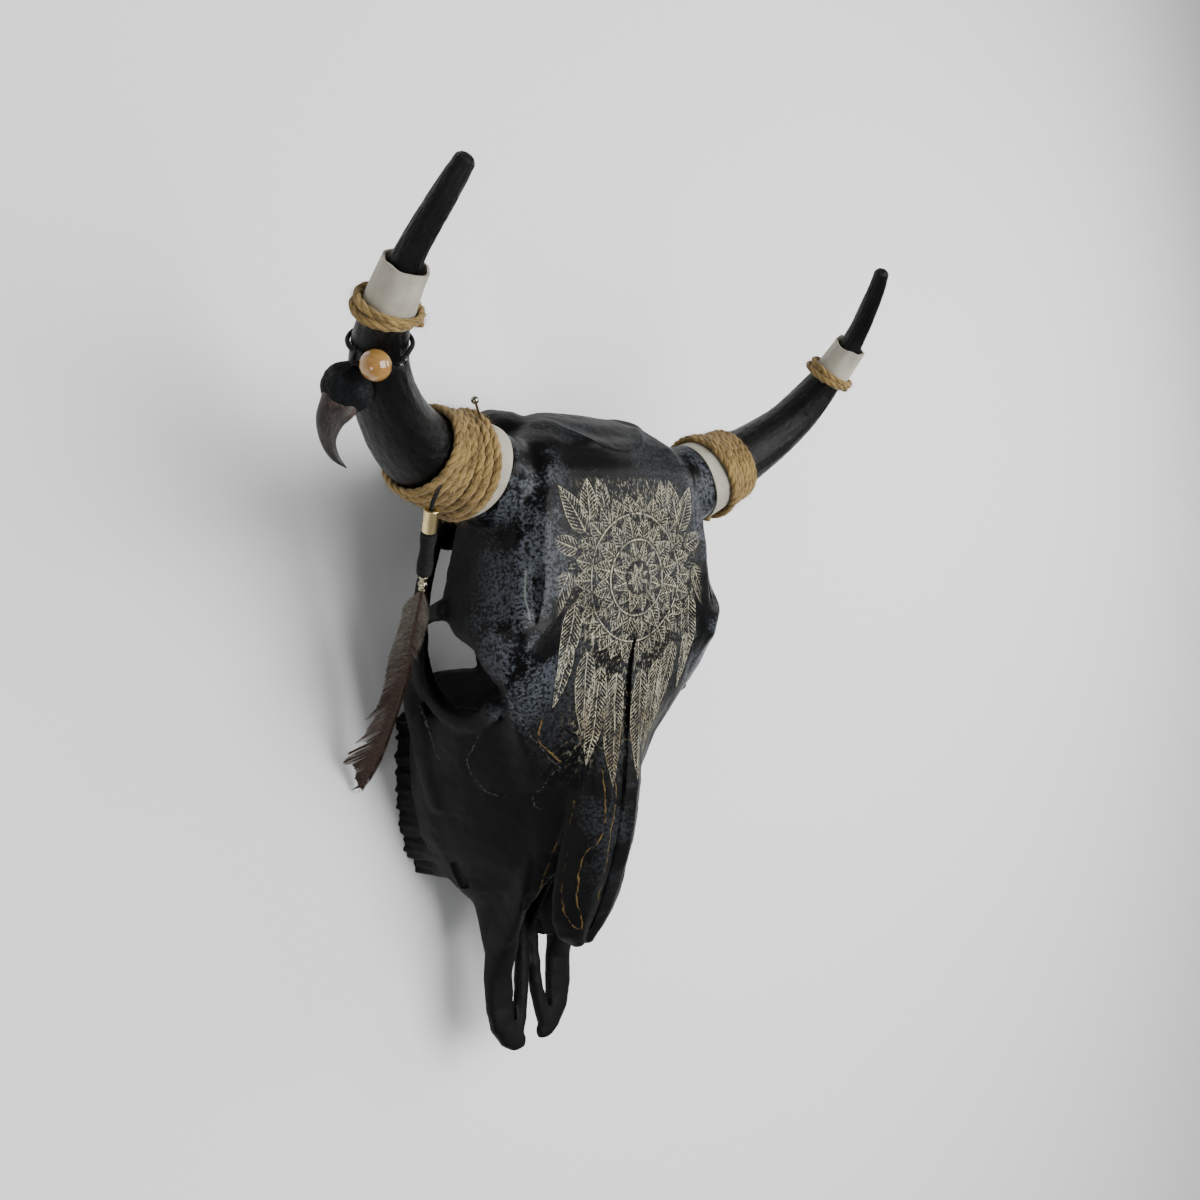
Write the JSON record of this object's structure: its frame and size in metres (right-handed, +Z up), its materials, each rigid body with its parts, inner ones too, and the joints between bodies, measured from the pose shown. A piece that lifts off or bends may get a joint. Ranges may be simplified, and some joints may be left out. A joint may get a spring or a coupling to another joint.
{
  "type": "engraved bull skull",
  "caption": "Black bull skull without a lower jaw, engraved on the forehead, with rope-bound upswept horns, a claw and a bead on one horn, and a hanging feather",
  "frame": {"origin": "On the floor under the middle of the whole object's box; the skull lies on its cheek teeth, face up", "axes": "+Z is up, out of the face; -Y is towards the nose and +Y towards the poll and the horn tips; +X is the skull's own left, the picture's right"},
  "size_m": [0.4975, 0.6061, 0.2967],
  "materials": {
    "bone": "black paint on bone, satin, engraved on the forehead",
    "horn": "black horn with fine grain along it, satin",
    "hide": "off-white thin hide, matte",
    "rope": "tan jute, matte and hairy",
    "claw": "dark mottled claw, satin",
    "leather": "blue-black, matte",
    "cord": "black cord and thread, matte",
    "amber": "orange-brown, glossy",
    "dark_glass": "black, glossy",
    "brass": "pale, satin",
    "metal": "dark brassy metal, polished",
    "feather": "brown vane, grey down"
  },
  "bodies": {
    "root": {"skull": "bone", "horn_left": "horn", "horn_right": "horn", "base_band_left": "hide", "base_band_right": "hide", "top_band_left": "hide", "top_band_right": "hide", "base_wrap_left": "rope", "base_wrap_right": "rope", "rope_ring_left": "rope", "rope_ring_right": "rope", "claw": "claw", "claw_cap": "leather", "bead": "amber", "seed_bead_1": "dark_glass", "seed_bead_2": "dark_glass", "lashing": "cord", "pendant_cord": "cord", "thread_wrap": "cord", "brass_tube": "brass", "crimp": "metal", "metal_ball": "metal", "feather": "feather"}
  },
  "joints": []
}
